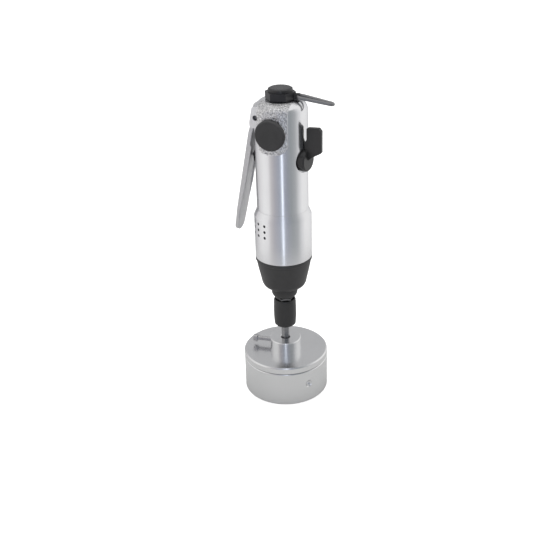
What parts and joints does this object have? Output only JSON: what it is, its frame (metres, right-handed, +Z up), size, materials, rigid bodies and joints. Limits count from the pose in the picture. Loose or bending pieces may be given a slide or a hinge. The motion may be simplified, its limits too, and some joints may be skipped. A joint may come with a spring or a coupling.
{
  "type": "hand-held capping machine",
  "caption": "Hand-held pneumatic bottle capping machine: lever air driver with reversing knob, quick-change bit holder and a turned capping chuck that tightens screw caps.",
  "frame": {"origin": "centre of the chuck's rim, on the surface that the machine stands on", "axes": "+Z up the driver's axis, -Y towards the side air inlet, -X towards the throttle lever, +X towards the reversing knob"},
  "size_m": [0.087, 0.076, 0.2812],
  "materials": {
    "grip_aluminium": "polished casting, rough as cast round the inlet",
    "lever_aluminium": "satin",
    "chuck_aluminium": "fine turned",
    "black_anodised": "satin black",
    "black_rubber": "smooth",
    "bright_steel": "ground",
    "dark_steel": "oiled",
    "motor_iron": "honed",
    "bronze": "turned",
    "liner_rubber": "matt off-white",
    "vane_resin": "fabric laminate"
  },
  "bodies": {
    "housing": {"handle": "grip_aluminium", "lower_housing": "grip_aluminium", "nose_housing": "black_anodised", "nose_collar": "black_anodised", "spindle_bush": "bronze", "ring_gear": "dark_steel", "motor_cylinder": "motor_iron", "rear_end_plate": "motor_iron", "rear_bearing": "bright_steel", "front_end_plate": "motor_iron", "front_bearing": "bright_steel", "inlet_screen": "dark_steel", "throttle_bush": "black_anodised", "throttle_spring": "dark_steel", "lever_pin": "dark_steel", "hanger_plug": "black_anodised", "hanger_seal_ring": "black_rubber"},
    "spindle": {"spindle_shaft": "bright_steel", "sleeve_spring": "dark_steel", "sleeve_retaining_ring": "dark_steel", "lock_ball_1": "bright_steel", "lock_ball_2": "bright_steel", "clutch_nut": "dark_steel", "clutch_spring": "dark_steel", "clutch_plate": "bright_steel", "planet_carrier": "bright_steel", "planet_pin_1": "bright_steel", "planet_pin_2": "bright_steel", "planet_pin_3": "bright_steel", "chuck_shank": "bright_steel", "chuck_lid": "chuck_aluminium", "chuck_cup": "chuck_aluminium", "chuck_liner": "liner_rubber", "liner_screw_1": "dark_steel", "liner_screw_2": "dark_steel", "liner_screw_3": "dark_steel", "clamp_bolt": "bright_steel"},
    "sleeve": {"collet_sleeve": "black_anodised"},
    "rotor_body": {"rotor": "bright_steel", "vane_1": "vane_resin", "vane_2": "vane_resin", "vane_3": "vane_resin", "vane_4": "vane_resin", "vane_5": "vane_resin"},
    "planet_1": {"planet_gear_1": "dark_steel"},
    "planet_2": {"planet_gear_2": "dark_steel"},
    "planet_3": {"planet_gear_3": "dark_steel"},
    "lever": {"throttle_lever": "lever_aluminium"},
    "stem": {"throttle_stem": "dark_steel", "throttle_seal": "black_rubber"},
    "knob": {"reverse_knob": "black_anodised", "reverse_spool": "bronze", "reverse_seal_ring": "black_rubber", "knob_grub_screw": "dark_steel"},
    "dust_cap": {"inlet_dust_cap": "black_rubber"},
    "bail": {"hanging_bail": "bright_steel"}
  },
  "joints": [
    {"name": "throttle_lever_pivot", "type": "hinge", "parent": "housing", "child": "lever", "pos_m": [-0.0148, 0, 0.2594], "axis": [0, -1, 0], "range_deg": [0, 4.2], "stiffness_Nm_per_rad": 3, "springref_deg": -5.73},
    {"name": "throttle_stem_slide", "type": "slide", "parent": "housing", "child": "stem", "axis": [1, 0, 0], "range_m": [0, 0.003], "deforming": ["throttle_spring"]},
    {"name": "reverse_knob_turn", "type": "hinge", "parent": "housing", "child": "knob", "pos_m": [0, 0, 0.2236], "axis": [0.9903, -0.1392, 0], "range_deg": [0, 90]},
    {"name": "dust_cap_pull", "type": "slide", "parent": "housing", "child": "dust_cap", "axis": [0, -1, 0], "range_m": [0, 0.025]},
    {"name": "bail_swing", "type": "hinge", "parent": "housing", "child": "bail", "pos_m": [0.01457, 0.00257, 0.2744], "axis": [0.1736, -0.9848, 0], "range_deg": [0, 100]},
    {"name": "spindle_spin", "type": "hinge", "parent": "housing", "child": "spindle", "pos_m": [0, 0, 0.1], "axis": [0, 0, 1], "continuous": true},
    {"name": "rotor_spin", "type": "hinge", "parent": "housing", "child": "rotor_body", "pos_m": [0, 0, 0.17], "axis": [0, 0, 1], "continuous": true},
    {"name": "planet_1_spin", "type": "hinge", "parent": "spindle", "child": "planet_1", "pos_m": [0.01013, 0, 0.143], "axis": [0, 0, 1], "continuous": true},
    {"name": "planet_2_spin", "type": "hinge", "parent": "spindle", "child": "planet_2", "pos_m": [-0.00506, 0.00877, 0.143], "axis": [0, 0, 1], "continuous": true},
    {"name": "planet_3_spin", "type": "hinge", "parent": "spindle", "child": "planet_3", "pos_m": [-0.00506, -0.00877, 0.143], "axis": [0, 0, 1], "continuous": true},
    {"name": "collet_sleeve_slide", "type": "slide", "parent": "spindle", "child": "sleeve", "axis": [0, 0, 1], "range_m": [0, 0.003], "stiffness_N_per_m": 400, "springref_m": -0.004, "deforming": ["sleeve_spring"]}
  ],
  "couplings": [
    {"joint": "throttle_stem_slide", "follows": "throttle_lever_pivot", "m_per_rad": 0.0382},
    {"joint": "rotor_spin", "follows": "spindle_spin", "ratio": 4.5},
    {"joint": "planet_1_spin", "follows": "spindle_spin", "ratio": -2.8},
    {"joint": "planet_2_spin", "follows": "spindle_spin", "ratio": -2.8},
    {"joint": "planet_3_spin", "follows": "spindle_spin", "ratio": -2.8}
  ]
}
